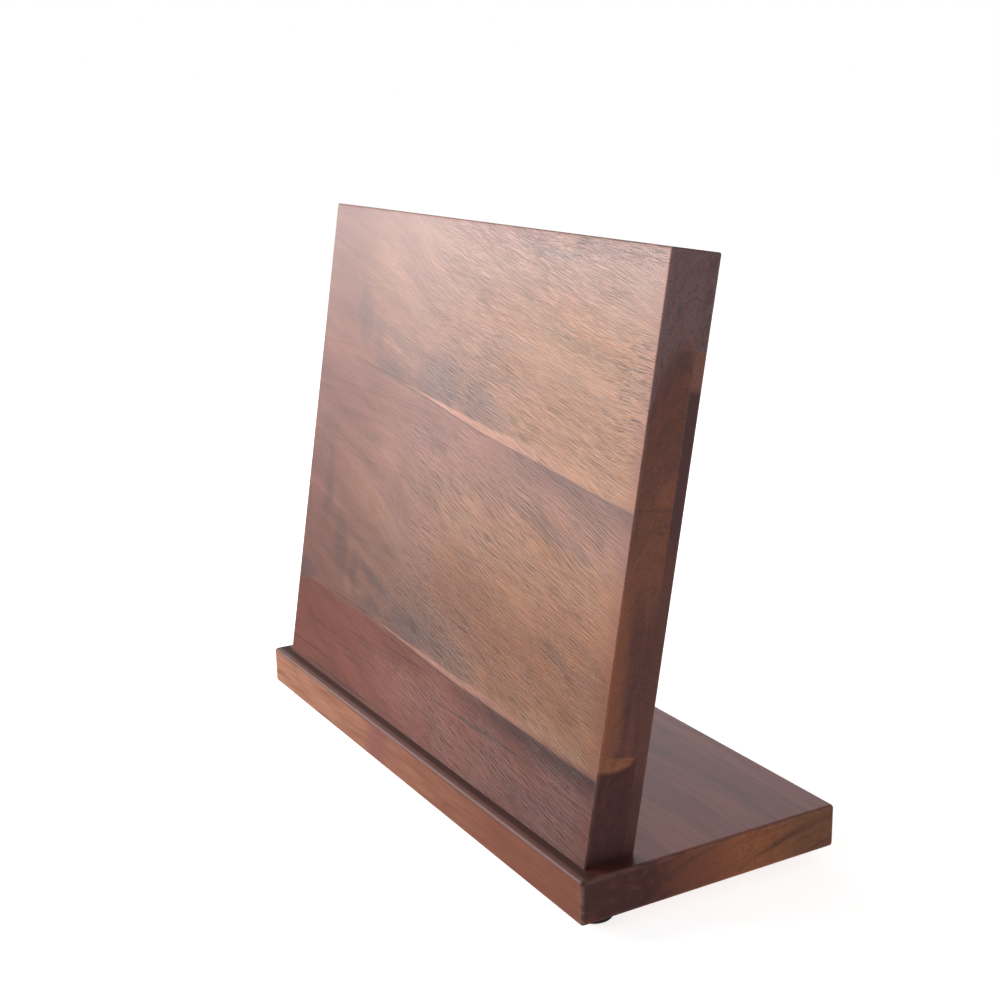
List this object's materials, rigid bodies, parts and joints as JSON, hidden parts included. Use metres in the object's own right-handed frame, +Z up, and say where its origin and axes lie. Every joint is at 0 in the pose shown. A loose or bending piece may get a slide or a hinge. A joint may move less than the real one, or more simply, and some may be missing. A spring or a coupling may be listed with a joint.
{
  "type": "magnetic knife stand",
  "caption": "Leaning laminated wooden panel with hidden magnets that hold knives on its face, standing on a flat wooden base with rubber feet.",
  "frame": {"origin": "middle of the base's footprint, on the surface that the feet stand on", "axes": "+X along the panel and base, +Y from the knife face towards the back of the base, +Z up"},
  "size_m": [0.3, 0.124, 0.2563],
  "materials": {
    "base_wood": "semi-gloss lacquered reddish-brown hardwood",
    "face_wood": "semi-gloss lacquered reddish-brown hardwood with dark streaks and pale sapwood lines",
    "back_wood": "semi-gloss lacquered dark reddish-brown hardwood",
    "magnet": "dark sintered magnet",
    "steel": "zinc-plated mild steel strip",
    "screw_steel": "zinc-plated steel",
    "dowel_wood": "bare beech",
    "rubber": "matt black rubber"
  },
  "bodies": {
    "root": {"base_board": "base_wood", "front_board_top": "face_wood", "front_board_middle": "face_wood", "front_board_bottom": "face_wood", "back_board_top": "back_wood", "back_board_upper": "back_wood", "back_board_lower": "back_wood", "back_board_bottom": "back_wood", "steel_keeper_upper": "steel", "magnet_upper_1": "magnet", "magnet_upper_2": "magnet", "magnet_upper_3": "magnet", "magnet_upper_4": "magnet", "magnet_upper_5": "magnet", "steel_keeper_lower": "steel", "magnet_lower_1": "magnet", "magnet_lower_2": "magnet", "magnet_lower_3": "magnet", "magnet_lower_4": "magnet", "magnet_lower_5": "magnet", "dowel_left": "dowel_wood", "dowel_right": "dowel_wood", "screw_left": "screw_steel", "screw_middle": "screw_steel", "screw_right": "screw_steel", "foot_front_left": "rubber", "foot_front_right": "rubber", "foot_back_left": "rubber", "foot_back_right": "rubber"}
  },
  "joints": []
}
